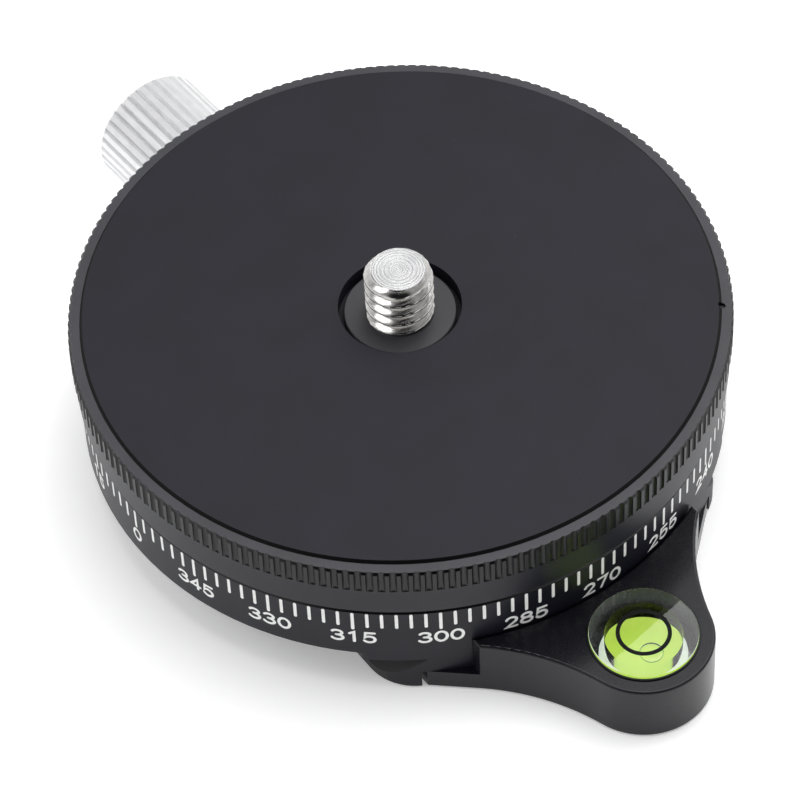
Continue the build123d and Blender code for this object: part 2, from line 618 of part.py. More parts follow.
PIECES = {
    "base_housing": make_base_housing,
    "journal_bush": make_journal_bush,
    "upper_slide_washer": make_upper_slide_washer,
    "lower_slide_washer": make_lower_slide_washer,
    "socket_insert": make_socket_insert,
    "level_bracket": make_level_bracket,
    "bracket_screws": make_bracket_screws,
    "vial_backing": make_vial_backing,
    "vial_cup": make_vial_cup,
    "vial_liquid": make_vial_liquid,
    "vial_lens": make_vial_lens,
    "vial_ring": make_vial_ring,
    "top_plate": make_top_plate,
    "hub": make_hub,
    "retaining_plate": make_retaining_plate,
    "hub_screws": make_hub_screws,
    "screw_seat": make_screw_seat,
    "camera_screw": make_camera_screw,
    "brake_shoe": make_brake_shoe,
    "lock_screw": make_lock_screw,
    "lock_knob": make_lock_knob,
    "knob_grub_screw": make_knob_grub_screw,
    "knob_washer": make_knob_washer,
}


def main():
    """Builds every piece and writes one file for each."""
    os.makedirs("parts", exist_ok=True)
    for name, make in PIECES.items():
        shape = make()
        if isinstance(shape, list):
            shape = Compound(children=shape)
        export_step(shape, f"parts/{name}.step")


if __name__ == "__main__":
    main()
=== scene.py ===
"""Looks of the panoramic tripod base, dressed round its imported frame.

Metres and radians unless a name says otherwise. +Z is up, -Y points to the bubble level and +Y to the
lock knob.
"""
import json
from math import cos, pi, radians, sin, sqrt, tau

import bmesh
import bpy
from mathutils import Matrix, Vector


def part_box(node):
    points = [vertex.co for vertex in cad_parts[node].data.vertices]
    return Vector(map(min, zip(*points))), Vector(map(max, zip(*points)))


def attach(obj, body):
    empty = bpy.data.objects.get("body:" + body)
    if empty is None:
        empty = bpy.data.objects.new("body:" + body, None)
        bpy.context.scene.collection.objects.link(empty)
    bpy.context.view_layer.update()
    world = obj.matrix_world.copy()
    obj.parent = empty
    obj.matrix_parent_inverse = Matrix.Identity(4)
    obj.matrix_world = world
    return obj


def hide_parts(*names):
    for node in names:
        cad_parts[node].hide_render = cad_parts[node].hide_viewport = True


MM = 0.001

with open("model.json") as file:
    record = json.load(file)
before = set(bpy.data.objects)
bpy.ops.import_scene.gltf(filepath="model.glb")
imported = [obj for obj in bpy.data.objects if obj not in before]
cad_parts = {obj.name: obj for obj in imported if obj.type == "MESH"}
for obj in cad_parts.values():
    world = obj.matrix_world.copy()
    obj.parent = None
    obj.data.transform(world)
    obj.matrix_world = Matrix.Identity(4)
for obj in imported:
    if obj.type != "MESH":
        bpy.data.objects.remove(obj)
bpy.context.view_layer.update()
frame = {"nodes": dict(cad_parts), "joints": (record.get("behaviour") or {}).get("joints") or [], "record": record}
NODES = frame["nodes"]


# Camera, fitted to the photograph's view of the plate
FRAME_PX = 800
FOCAL_PX = 4384.0
SENSOR_MM = 36.0
CAMERA_DISTANCE = 400.0 * MM
CAMERA_ELEVATION = radians(49.948)
CAMERA_AZIMUTH = radians(-33.66)
CAMERA_ROLL = radians(3.0)
TARGET_PX = (399.9, 304.8)              # where the middle of the plate's face lies in the picture

PLATE_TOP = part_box("top_plate")[1].z
WALL_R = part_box("base_housing")[1].x

# Directions that the light is laid out by: away from the camera, to its right, and up
AWAY = Vector((-sin(CAMERA_AZIMUTH), cos(CAMERA_AZIMUTH), 0))
RIGHT = Vector((cos(CAMERA_AZIMUTH), sin(CAMERA_AZIMUTH), 0))
UP = Vector((0, 0, 1))


def make_camera():
    """Camera at the photograph's viewing angle, turned so that the plate's middle falls on its pixel."""
    target = Vector((0, 0, PLATE_TOP))
    back = (-AWAY * cos(CAMERA_ELEVATION) + UP * sin(CAMERA_ELEVATION)).normalized()
    up = back.cross(RIGHT)
    half = FRAME_PX / 2
    ray = Vector(((TARGET_PX[0] - half) / FOCAL_PX, (half - TARGET_PX[1]) / FOCAL_PX, 1)).normalized()
    aim = Vector((0, 0, 1)).rotation_difference(ray).to_matrix()
    to_camera = aim @ Matrix.Rotation(CAMERA_ROLL, 3, "Z") @ Matrix((RIGHT, up, -back))
    flip = Matrix.Diagonal((1, 1, -1))
    data = bpy.data.cameras.new("camera")
    data.sensor_width = SENSOR_MM
    data.lens = FOCAL_PX / FRAME_PX * SENSOR_MM
    data.clip_start = 10 * MM
    data.clip_end = 10
    camera = bpy.data.objects.new("camera", data)
    camera.matrix_world = Matrix.Translation(target + back * CAMERA_DISTANCE) @ (
        to_camera.transposed() @ flip
    ).to_4x4()
    bpy.context.scene.collection.objects.link(camera)
    bpy.context.scene.camera = camera


class Graph:
    """Adds and joins shader nodes in one tree."""

    def __init__(self, tree):
        self.tree = tree
        tree.nodes.clear()

    def add(self, kind, inputs=None, **settings):
        """New node; a socket given as an input is joined, any other value is set."""
        node = self.tree.nodes.new(kind)
        for key, value in settings.items():
            setattr(node, key, value)
        for key, value in (inputs or {}).items():
            if isinstance(value, bpy.types.NodeSocket):
                self.tree.links.new(value, node.inputs[key])
            else:
                node.inputs[key].default_value = value
        return node

    def math(self, operation, *values, clamp=False):
        """Result of one sum on numbers or sockets."""
        inputs = dict(enumerate(values))
        return self.add("ShaderNodeMath", inputs, operation=operation, use_clamp=clamp).outputs[0]

    def vector(self, operation, *values):
        """Vector result of one vector sum."""
        inputs = dict(enumerate(values))
        return self.add("ShaderNodeVectorMath", inputs, operation=operation).outputs["Vector"]

    def dot(self, vector, direction):
        """Dot product of a vector socket and a fixed direction."""
        inputs = {0: vector, 1: direction}
        return self.add("ShaderNodeVectorMath", inputs, operation="DOT_PRODUCT").outputs["Value"]

    def ramp(self, value, low, high, to_low=0.0, to_high=1.0, kind="SMOOTHSTEP"):
        """Value carried over from one range to another."""
        inputs = {"Value": value, "From Min": low, "From Max": high, "To Min": to_low, "To Max": to_high}
        return self.add("ShaderNodeMapRange", inputs, interpolation_type=kind).outputs["Result"]

    def mix(self, share, first, second):
        """Colour between two colours."""
        inputs = {"Factor": share, 6: first, 7: second}
        return self.add("ShaderNodeMix", inputs, data_type="RGBA").outputs[2]


# Light: radiances, where 1 renders as white
SKY = 0.42                               # high part of the surroundings
BACKDROP = 1.2                           # low part, all round
BACKDROP_FROM = 0.62                     # sine of the elevation at which the backdrop ends
BACKDROP_TO = 0.36
DARK_ELEVATION = radians(42)             # dark room behind the camera
DARK_INNER = radians(20)
DARK_OUTER = radians(36)
DARK_LEVEL = 0.02
FLOOR_ALBEDO = 0.93
FLOOR_LIFT = 0.27                        # lifts the bare floor to white where a camera or a mirror sees it
FLOOR_SIZE = 3.0
FLOOR_DROP = 0.05 * MM                   # gap between the floor and the foot


def make_world():
    """Soft surroundings: white backdrop low down, dimmer above, a dark patch on the camera's side."""
    world = bpy.data.worlds.new("studio")
    bpy.context.scene.world = world
    world.use_nodes = True
    g = Graph(world.node_tree)
    ray = g.add("ShaderNodeTexCoord").outputs["Generated"]
    height = g.add("ShaderNodeSeparateXYZ", {0: ray}).outputs["Z"]
    level = g.ramp(height, BACKDROP_TO, BACKDROP_FROM, BACKDROP, SKY)
    dark_way = -AWAY * cos(DARK_ELEVATION) + UP * sin(DARK_ELEVATION)
    dark = g.ramp(g.dot(ray, dark_way), cos(DARK_OUTER), cos(DARK_INNER), 1.0, DARK_LEVEL)
    light = g.add("ShaderNodeBackground", {"Strength": g.math("MULTIPLY", level, dark)})
    g.add("ShaderNodeOutputWorld", {"Surface": light.outputs[0]})


def direction(right, away, up):
    """Unit direction from its three parts in the light's layout."""
    return (RIGHT * right + AWAY * away + UP * up).normalized()


def make_softbox(name, centre, axes, width, height, radiance):
    """Rectangular soft light about a centre; its axes are along its width, its height and its back."""
    data = bpy.data.lights.new(name, "AREA")
    data.shape = "RECTANGLE"
    data.size = width
    data.size_y = height
    data.energy = radiance * pi * width * height
    light = bpy.data.objects.new(name, data)
    light.matrix_world = Matrix.Translation(centre) @ Matrix(axes).transposed().to_4x4()
    bpy.context.scene.collection.objects.link(light)


KEY_EDGE_PX = ((678.0, 602.5), (616.7, 656.7))     # the light's edge as the level's flat window mirrors it
KEY_INSIDE_PX = (690.0, 670.0)
KEY_DISTANCE = 0.6
KEY_LENGTH = 0.8
KEY_DEPTH = 0.46
KEY_RADIANCE = 3.4
FILL_WAY = (-0.95, -0.1, 1.25)           # to the right, away from the camera, up
FILL_DISTANCE = 0.6
FILL_WIDTH = 0.34
FILL_HEIGHT = 0.26
FILL_RADIANCE = 2.4


def mirrored(pixel, height, distance):
    """Point that a level mirror at a height shows at a pixel, at a distance from the mirror."""
    camera = bpy.context.scene.camera.matrix_world
    half = FRAME_PX / 2
    ray = Vector(((pixel[0] - half) / FOCAL_PX, (half - pixel[1]) / FOCAL_PX, -1)).normalized()
    ray = camera.to_3x3() @ ray
    eye = camera.translation
    place = eye + ray * ((height - eye.z) / ray.z)
    return place + Vector((ray.x, ray.y, -ray.z)) * distance


def make_lights():
    """Key softbox behind and to the right, its edge across the level's window, and a fill on the left."""
    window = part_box("vial_lens")[1].z
    first, last = (mirrored(pixel, window, KEY_DISTANCE) for pixel in KEY_EDGE_PX)
    along = (last - first).normalized()
    inward = mirrored(KEY_INSIDE_PX, window, KEY_DISTANCE) - first
    inward = (inward - along * inward.dot(along)).normalized()
    facing = along.cross(inward)
    if facing.dot(first) < 0:
        along, facing = -along, -facing
    centre = (first + last) / 2 + inward * KEY_DEPTH / 2
    make_softbox("key_light", centre, (along, inward, facing), KEY_LENGTH, KEY_DEPTH, KEY_RADIANCE)
    way = direction(*FILL_WAY)
    across = (AWAY - way * AWAY.dot(way)).normalized()
    axes = (across, way.cross(across), way)
    make_softbox("fill_light", way * FILL_DISTANCE, axes, FILL_WIDTH, FILL_HEIGHT, FILL_RADIANCE)


def make_floor():
    """Plain white floor under the foot."""
    half = FLOOR_SIZE / 2
    mesh = bpy.data.meshes.new("floor")
    corners = [(x * half, y * half, -FLOOR_DROP) for x, y in ((-1, -1), (1, -1), (1, 1), (-1, 1))]
    mesh.from_pydata(corners, [], [(0, 1, 2, 3)])
    floor = bpy.data.objects.new("floor", mesh)
    bpy.context.scene.collection.objects.link(floor)
    material = bpy.data.materials.new("floor_white")
    material.use_nodes = True
    g = Graph(material.node_tree)
    white = (FLOOR_ALBEDO, FLOOR_ALBEDO, FLOOR_ALBEDO, 1)
    diffuse = g.add("ShaderNodeBsdfDiffuse", {"Color": white}).outputs[0]
    path = g.add("ShaderNodeLightPath").outputs
    seen = g.math("ADD", path["Is Camera Ray"], path["Is Glossy Ray"])
    seen = g.math("ADD", seen, path["Is Transmission Ray"], clamp=True)
    lift = g.add("ShaderNodeEmission", {"Strength": g.math("MULTIPLY", seen, FLOOR_LIFT)}).outputs[0]
    both = g.add("ShaderNodeAddShader", {0: diffuse, 1: lift}).outputs[0]
    g.add("ShaderNodeOutputMaterial", {"Surface": both})
    mesh.materials.append(material)


# Materials
def linear(red, green, blue):
    """Colour from its 0 to 255 display values."""
    def channel(value):
        share = value / 255
        return share / 12.92 if share <= 0.04045 else ((share + 0.055) / 1.055) ** 2.4
    return channel(red), channel(green), channel(blue), 1


def scaled(color, factor):
    """Colour made lighter or darker."""
    return color[0] * factor, color[1] * factor, color[2] * factor, 1


def principled(name):
    """New material with a graph and a principled shader joined to the output."""
    material = bpy.data.materials.new(name)
    material.use_nodes = True
    g = Graph(material.node_tree)
    shader = g.add("ShaderNodeBsdfPrincipled")
    g.add("ShaderNodeOutputMaterial", {"Surface": shader.outputs[0]})
    return material, g, shader


def place_of(g):
    """Place on the object, in metres."""
    return g.add("ShaderNodeTexCoord").outputs["Object"]


def noise(g, place, size, detail=2.0, roughness=0.5):
    """Soft noise with features of about the given size."""
    inputs = {"Vector": place, "Scale": 1 / size, "Detail": detail, "Roughness": roughness}
    return g.add("ShaderNodeTexNoise", inputs).outputs["Fac"]


def line_noise(g, along, size, detail=3.0):
    """Noise along one coordinate, which draws tool lines of about the given spacing."""
    inputs = {"W": g.math("DIVIDE", along, size), "Scale": 1.0, "Detail": detail}
    return g.add("ShaderNodeTexNoise", inputs, noise_dimensions="1D").outputs["Fac"]


def axial(g, place):
    """Distance from the rotation axis plus the height: constant along every tool line of a turned face."""
    flat = g.vector("MULTIPLY", place, (1, 1, 0))
    radius = g.add("ShaderNodeVectorMath", {0: flat}, operation="LENGTH").outputs["Value"]
    height = g.add("ShaderNodeSeparateXYZ", {0: place}).outputs["Z"]
    return g.math("ADD", radius, height)


def specks(g, place, cell, radius, share):
    """Sparse dust specks: 1 inside a speck. Only a share of the cells has one."""
    inputs = {"Vector": place, "Scale": 1 / cell, "Randomness": 1.0}
    voronoi = g.add("ShaderNodeTexVoronoi", inputs).outputs
    near = g.math("LESS_THAN", voronoi["Distance"], radius / cell)
    pick = g.add("ShaderNodeSeparateColor", {0: voronoi["Color"]}).outputs[0]
    return g.math("MULTIPLY", near, g.math("LESS_THAN", pick, share))


def bump(g, height, depth, normal=None):
    """Normal of a relief with the given depth."""
    inputs = {"Height": height, "Strength": 1.0, "Distance": depth}
    if normal:
        inputs["Normal"] = normal
    return g.add("ShaderNodeBump", inputs).outputs["Normal"]


def set_inputs(g, shader, **inputs):
    """Sets or joins sockets, named with underscores for blanks."""
    for key, value in inputs.items():
        socket = shader.inputs[key.replace("_", " ")]
        if isinstance(value, bpy.types.NodeSocket):
            g.tree.links.new(value, socket)
        else:
            socket.default_value = value


def anodised(name, color, roughness, specular, grain=0.09 * MM, relief=0.0035 * MM, dust=0.3):
    """Black anodised aluminium over a blasted face: fine grain, faint clouds and a little dust."""
    material, g, shader = principled(name)
    place = place_of(g)
    fine = noise(g, place, grain, 3.0, 0.6)
    cloud = noise(g, place, 5 * MM)
    tone = g.mix(g.ramp(cloud, 0.3, 0.7), scaled(color, 0.88), scaled(color, 1.14))
    tone = g.mix(g.ramp(fine, 0.35, 0.75, 0.0, 0.5), tone, scaled(color, 1.5))
    tone = g.mix(specks(g, place, 3.2 * MM, 0.05 * MM, dust), tone, scaled(color, 7.0))
    rough = g.math("ADD", g.ramp(fine, 0.3, 0.7, -0.04, 0.05), roughness, clamp=True)
    set_inputs(
        g, shader, Base_Color=tone, Roughness=rough, Specular_IOR_Level=specular,
        Normal=bump(g, fine, relief),
    )
    return material


def turned_black(name, color, roughness, specular, line=0.07 * MM, relief=0.0012 * MM):
    """Black anodised aluminium with fine lathe lines round the rotation axis."""
    material, g, shader = principled(name)
    place = place_of(g)
    lines = line_noise(g, axial(g, place), line)
    fine = noise(g, place, 0.12 * MM, 2.0)
    cloud = noise(g, place, 4 * MM)
    tone = g.mix(g.ramp(cloud, 0.3, 0.7), scaled(color, 0.86), scaled(color, 1.16))
    tone = g.mix(specks(g, place, 2.6 * MM, 0.045 * MM, 0.3), tone, scaled(color, 8.0))
    rough = g.math("ADD", g.ramp(lines, 0.3, 0.7, -0.05, 0.06), roughness, clamp=True)
    set_inputs(
        g, shader, Base_Color=tone, Roughness=rough, Specular_IOR_Level=specular,
        Normal=bump(g, fine, relief, bump(g, lines, relief)),
    )
    return material


def metal(name, color, roughness, line=0.06 * MM, relief=0.0015 * MM, along=None, worn=0.12):
    """Bare metal with tool lines; along gives the coordinate across the lines."""
    material, g, shader = principled(name)
    place = place_of(g)
    lines = line_noise(g, along(g, place) if along else axial(g, place), line)
    cloud = noise(g, place, 1.3 * MM, 4.0, 0.6)
    tone = g.mix(g.ramp(cloud, 0.3, 0.75), scaled(color, 1 - worn), color)
    rough = g.math("ADD", g.ramp(lines, 0.25, 0.75, -0.06, 0.08), roughness, clamp=True)
    set_inputs(
        g, shader, Base_Color=tone, Metallic=1.0, Roughness=rough, Normal=bump(g, lines, relief),
    )
    return material


def plastic(name, color, roughness, grain=0.2 * MM, relief=0.003 * MM, specular=0.5, painted_glow=0.0):
    """Moulded plastic or paint with a faint texture; the last argument is painted light, an emission that makes
    the part glow though it is no lamp.
    """
    material, g, shader = principled(name)
    place = place_of(g)
    fine = noise(g, place, grain, 3.0)
    tone = g.mix(g.ramp(fine, 0.3, 0.7), scaled(color, 0.93), color)
    set_inputs(
        g, shader, Base_Color=tone, Roughness=g.ramp(fine, 0.3, 0.7, roughness - 0.05, roughness + 0.05),
        Specular_IOR_Level=specular, Normal=bump(g, fine, relief), Emission_Color=color,
        Emission_Strength=painted_glow,
    )
    return material


def clear(name, color, ior, roughness=0.0):
    """Clear acrylic or liquid."""
    material, g, shader = principled(name)
    cloud = noise(g, place_of(g), 1.5 * MM)
    tone = g.mix(g.ramp(cloud, 0.3, 0.7), scaled(color, 0.985), color)
    set_inputs(g, shader, Base_Color=tone, Roughness=roughness, IOR=ior, Transmission_Weight=1.0)
    return material


LOCK_AXIS = Vector(next(j["axis"] for j in frame["joints"] if j["name"] == "lock_turn"))


def lock_axial(g, place):
    """Coordinate along the lock screw."""
    return g.dot(place, LOCK_AXIS)


M = {
    "face": anodised("plate_face_black", linear(22, 21, 30), 0.55, 0.26),
    # Painted shade: the step round the plate's face is near black to stand in for the shadow in the gap there
    "step": anodised("plate_step_painted_shade", linear(5, 5, 6), 0.4, 0.12, dust=0.0),
    "edge": turned_black("edge_black", linear(6, 6, 7), 0.2, 0.6),
    "rim": anodised(
        "plate_rim_black", linear(52, 52, 57), 0.55, 0.42, grain=0.2 * MM, relief=0.012 * MM, dust=0.6,
    ),
    "grip": anodised("plate_grip_black", linear(14, 14, 17), 0.36, 0.3),
    "band": turned_black("plate_band_black", linear(26, 26, 34), 0.38, 0.27),
    "wall": turned_black("scale_wall_black", linear(22, 22, 31), 0.4, 0.21),
    "housing": anodised("housing_black", linear(24, 24, 28), 0.5, 0.4),
    "bracket": anodised("bracket_black", linear(18, 18, 24), 0.24, 0.27),
    "seat": anodised("seat_black", linear(36, 36, 40), 0.4, 0.62, relief=0.005 * MM, dust=0.5),
    "steel_black": metal("black_oxide", linear(48, 48, 50), 0.4),
    "steel": metal("ground_steel", (0.5, 0.5, 0.51, 1), 0.3),
    "socket": metal("socket_steel", (0.56, 0.56, 0.57, 1), 0.28),
    "stainless": metal(
        "stainless", (0.78, 0.765, 0.745, 1), 0.17, line=0.05 * MM, relief=0.002 * MM, worn=0.35,
    ),
    # Painted light: the stud's end face is a lighter copy of its steel, for the light on its top
    "stud_end": metal("stud_end_painted_light", (0.92, 0.92, 0.93, 1), 0.26, line=0.09 * MM, relief=0.0075 * MM),
    "bronze": metal("bearing_bronze", (0.62, 0.42, 0.2, 1), 0.32),
    "silver": metal("silver_aluminium", (0.78, 0.78, 0.79, 1), 0.42, along=lock_axial, worn=0.08),
    "acetal": plastic("acetal", (0.85, 0.85, 0.82, 1), 0.4),
    "nylon": plastic("nylon", (0.8, 0.79, 0.74, 1), 0.45),
    "black_nylon": plastic("black_nylon", (0.03, 0.03, 0.03, 1), 0.45),
    # Painted light: the backing glows so that the level's chamber shows lit under the window
    "backing": plastic("vial_backing", (0.8, 0.88, 0.84, 1), 0.6, relief=0.0005 * MM, painted_glow=0.6),
    "ink": plastic("ring_ink", (0.008, 0.008, 0.008, 1), 0.4, specular=0.06),
    # Partly painted shade: the black sleeve stands in for the shadow in the gap round the level's window
    "sleeve": plastic("sleeve_black_painted_shade", (0.006, 0.006, 0.006, 1), 0.3, relief=0.0, specular=0.2),
    "paint": plastic("scale_paint", (0.98, 0.98, 0.97, 1), 0.5, grain=0.06 * MM, relief=0.002 * MM),
    "acrylic": clear("clear_acrylic", (0.97, 0.995, 0.98, 1), 1.49),
    "spirit": clear("vial_liquid", (0.74, 0.93, 0.155, 1), 1.49 / 1.44),
    "bubble": clear("vial_bubble", (0.98, 1.0, 0.97, 1), 1.4),
}


def smooth(mesh, angle=radians(32)):
    """Smooth shading that keeps edges sharper than the angle."""
    mesh.polygons.foreach_set("use_smooth", [True] * len(mesh.polygons))
    mesh.set_sharp_from_angle(angle=angle)


def dress(node, names, choose=None):
    """Gives a frame node its materials; choose picks one by the middle and normal of each face."""
    mesh = NODES[node].data
    mesh.materials.clear()
    for name in names:
        mesh.materials.append(M[name])
    for face in mesh.polygons:
        face.material_index = choose(face.center, face.normal) if choose else 0


# Faces of the turning plate, read from its box
SIDE_NEAR = 0.9                          # share of the wall's radius outside which a face belongs to the side
FLUTE_LOW = PLATE_TOP - 3.05 * MM
LEDGE_TOP = PLATE_TOP - 0.25 * MM
FLAT = 0.98                              # upright share of the normal of a level face
LEDGE_FLAT = 0.9
LEANING = 0.5                            # of a chamfer, at least
WALL_SHARE = 0.98                        # share of the wall's radius inside which a face isn't the wall's
WALL_LEANING = 0.8


def plate_zone(centre, normal):
    """Index of the plate's finish: face, step (painted shade), rim, grip, band, edge."""
    radius = Vector((centre.x, centre.y)).length
    if radius < SIDE_NEAR * WALL_R:
        return 0
    if normal.z > LEANING:
        if centre.z > LEDGE_TOP:
            return 0 if normal.z > FLAT else 1
        return 2 if normal.z > LEDGE_FLAT else 5
    return 3 if centre.z > FLUTE_LOW else 4


def housing_zone(centre, normal):
    """Index of the housing's finish: scale wall, the rest, the wall's upper edge."""
    radius = Vector((centre.x, centre.y)).length
    if radius < WALL_SHARE * WALL_R or abs(normal.z) > WALL_LEANING:
        return 1
    return 2 if normal.z > LEANING else 0


def dress_frame():
    """Materials of every frame node that stays."""
    dress("top_plate", ("face", "step", "rim", "grip", "band", "edge"), plate_zone)
    dress("base_housing", ("wall", "housing", "edge"), housing_zone)
    single = {
        "level_bracket": "bracket", "screw_seat": "seat", "journal_bush": "bronze",
        "upper_slide_washer": "acetal", "lower_slide_washer": "acetal", "socket_insert": "socket",
        "bracket_screws": "steel_black", "hub_screws": "steel_black", "knob_grub_screw": "steel_black",
        "vial_backing": "backing", "vial_ring": "ink", "hub": "steel", "retaining_plate": "steel",
        "lock_screw": "steel", "brake_shoe": "nylon", "lock_knob": "silver", "knob_washer": "black_nylon",
    }
    for node, name in single.items():
        dress(node, (name,))
    for node in (*single, "top_plate", "base_housing"):
        smooth(NODES[node].data)


def add_piece(name, verts, faces, material, body, replaces=()):
    """New piece of the object that rides on a body."""
    mesh = bpy.data.meshes.new(name)
    mesh.from_pydata([tuple(v) for v in verts], [], faces)
    tidy = bmesh.new()
    tidy.from_mesh(mesh)
    bmesh.ops.remove_doubles(tidy, verts=tidy.verts, dist=1e-8)
    tidy.to_mesh(mesh)
    tidy.free()
    mesh.validate()
    mesh.materials.append(M[material])
    smooth(mesh)
    piece = bpy.data.objects.new(name, mesh)
    bpy.context.scene.collection.objects.link(piece)
    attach(piece, body)
    if replaces:
        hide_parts(*replaces)
    return piece


class Shape:
    """Collects the points and faces of one piece."""

    def __init__(self):
        self.verts = []
        self.faces = []

    def point(self, place):
        """Index of a new point."""
        self.verts.append(Vector(place))
        return len(self.verts) - 1

    def lathe(self, profile, steps, centre=(0, 0), inward=False):
        """Surface turned about an upright axis, from (radius, height) points listed from the bottom up."""
        rings = []
        for radius, height in profile:
            if radius < 1e-9:
                rings.append([self.point((centre[0], centre[1], height))] * steps)
            else:
                ring = []
                for i in range(steps):
                    turn = tau * i / steps
                    x = centre[0] + radius * cos(turn)
                    y = centre[1] + radius * sin(turn)
                    ring.append(self.point((x, y, height)))
                rings.append(ring)
        for low, high in zip(rings, rings[1:]):
            for i in range(steps):
                j = (i + 1) % steps
                face = []
                for index in (low[i], low[j], high[j], high[i]):
                    if index not in face:
                        face.append(index)
                if len(face) > 2:
                    self.faces.append(tuple(reversed(face)) if inward else tuple(face))


# Scale on the housing
TICK_STEP = 2.5                          # degrees between lines
LABEL_STEP = 15                          # degrees between numbers
SCALE_ZERO = 180.45                      # direction of the line marked 0, degrees from +X
TICK_TOP = PLATE_TOP - 6.79 * MM
TICK_LOW = PLATE_TOP - 8.84 * MM
TICK_LONG_LOW = PLATE_TOP - 9.24 * MM
TICK_W = 0.3 * MM
DIGIT_TOP = PLATE_TOP - 9.5 * MM
DIGIT_H = 1.66 * MM
DIGIT_W = 1.33 * MM
DIGIT_PITCH = 1.45 * MM
STROKE_W = 0.29 * MM
PAINT_PROUD = 0.012 * MM
PAINT_DEPTH = 0.04 * MM


def arc(cx, cy, rx, ry, start, end, count=14):
    """Points of an elliptic arc, angles in degrees."""
    turns = [radians(start + (end - start) * i / count) for i in range(count + 1)]
    return [(cx + rx * cos(turn), cy + ry * sin(turn)) for turn in turns]


# Strokes of each digit in a unit box, the line's middle
DIGITS = {
    "0": [arc(0.5, 0.5, 0.5, 0.5, 90, 450, 28)],
    "1": [[(0.18, 0.82), (0.56, 1.0), (0.56, 0.0)]],
    "2": [arc(0.5, 0.7, 0.46, 0.3, 165, -38, 14) + [(0.04, 0.0), (0.98, 0.0)]],
    "3": [
        arc(0.47, 0.76, 0.44, 0.24, 155, -80, 14) + [(0.4, 0.52)],
        [(0.4, 0.52)] + arc(0.48, 0.26, 0.5, 0.26, 82, -158, 16),
    ],
    "4": [[(0.74, 0.0), (0.74, 1.0), (0.02, 0.3), (1.0, 0.3)]],
    "5": [[(0.92, 1.0), (0.18, 1.0), (0.08, 0.5)] + arc(0.48, 0.32, 0.49, 0.32, 140, -152, 20)],
    "6": [[(0.9, 0.9)] + arc(0.52, 0.5, 0.5, 0.5, 55, 180, 12) + arc(0.5, 0.32, 0.48, 0.32, 180, 540, 24)],
    "7": [[(0.03, 1.0), (0.97, 1.0), (0.36, 0.0)]],
    "8": [arc(0.5, 0.76, 0.42, 0.24, -90, 270, 22), arc(0.5, 0.26, 0.5, 0.26, 90, 450, 24)],
    "9": [[(0.1, 0.1)] + arc(0.48, 0.5, 0.5, 0.5, 235, 360, 12) + arc(0.5, 0.68, 0.48, 0.32, 0, 360, 24)],
}


def on_wall(angle, along, height, proud):
    """Place on the scale wall: along is the run to the right of the angle, seen from outside."""
    turn = angle + along / WALL_R
    radius = WALL_R + proud
    return radius * cos(turn), radius * sin(turn), height


def ribbon(shape, points, width, angle, closed=False, caps=6):
    """Painted line along points given as (run, height), with mitred corners and round ends."""
    points = [Vector(p) for p in points]
    count = len(points)
    half = width / 2
    sides = []
    for i, here in enumerate(points):
        before = points[(i - 1) % count] if closed or i > 0 else None
        after = points[(i + 1) % count] if closed or i < count - 1 else None
        ways = [(here - before).normalized()] if before is not None else []
        if after is not None:
            ways.append((after - here).normalized())
        way = sum(ways, Vector((0, 0))).normalized()
        out = Vector((-way.y, way.x))
        stretch = 1 / max(0.45, abs(out.dot(Vector((-ways[0].y, ways[0].x)))))
        sides.append((here + out * half * stretch, here - out * half * stretch))

    def pair(place):
        return [shape.point(on_wall(angle, place.x, place.y, proud)) for proud in (PAINT_PROUD, -PAINT_DEPTH)]

    left = [pair(a) for a, _ in sides]
    right = [pair(b) for _, b in sides]
    last = count if closed else count - 1
    for i in range(last):
        j = (i + 1) % count
        shape.faces.append((left[i][0], right[i][0], right[j][0], left[j][0]))
        shape.faces.append((left[i][1], left[i][0], left[j][0], left[j][1]))
        shape.faces.append((right[i][0], right[i][1], right[j][1], right[j][0]))
        shape.faces.append((right[i][1], left[i][1], left[j][1], right[j][1]))
    if closed:
        return
    for end, way in ((0, -1), (count - 1, 1)):
        first, other = (left, right) if way < 0 else (right, left)
        start = sides[end][0 if way < 0 else 1] - points[end]
        ring = [first[end]]
        for k in range(1, caps):
            turn = pi * k / caps
            ring.append(pair(points[end] + Matrix.Rotation(turn, 2) @ start))
        ring.append(other[end])
        for a, b in zip(ring, ring[1:]):
            shape.faces.append((a[1], a[0], b[0], b[1]))
        shape.faces.append(tuple(p[0] for p in ring))
        shape.faces.append(tuple(p[1] for p in reversed(ring)))


LOCK_HOLE_R = 2.1 * MM


def clear_of_lock(angle, reach):
    """Whether a mark stays clear of the lock screw's hole."""
    lock = Vector((-LOCK_AXIS.x, -LOCK_AXIS.y)).normalized()
    run = Vector((cos(angle), sin(angle))).angle_signed(lock) * WALL_R
    return abs(run) > LOCK_HOLE_R + reach


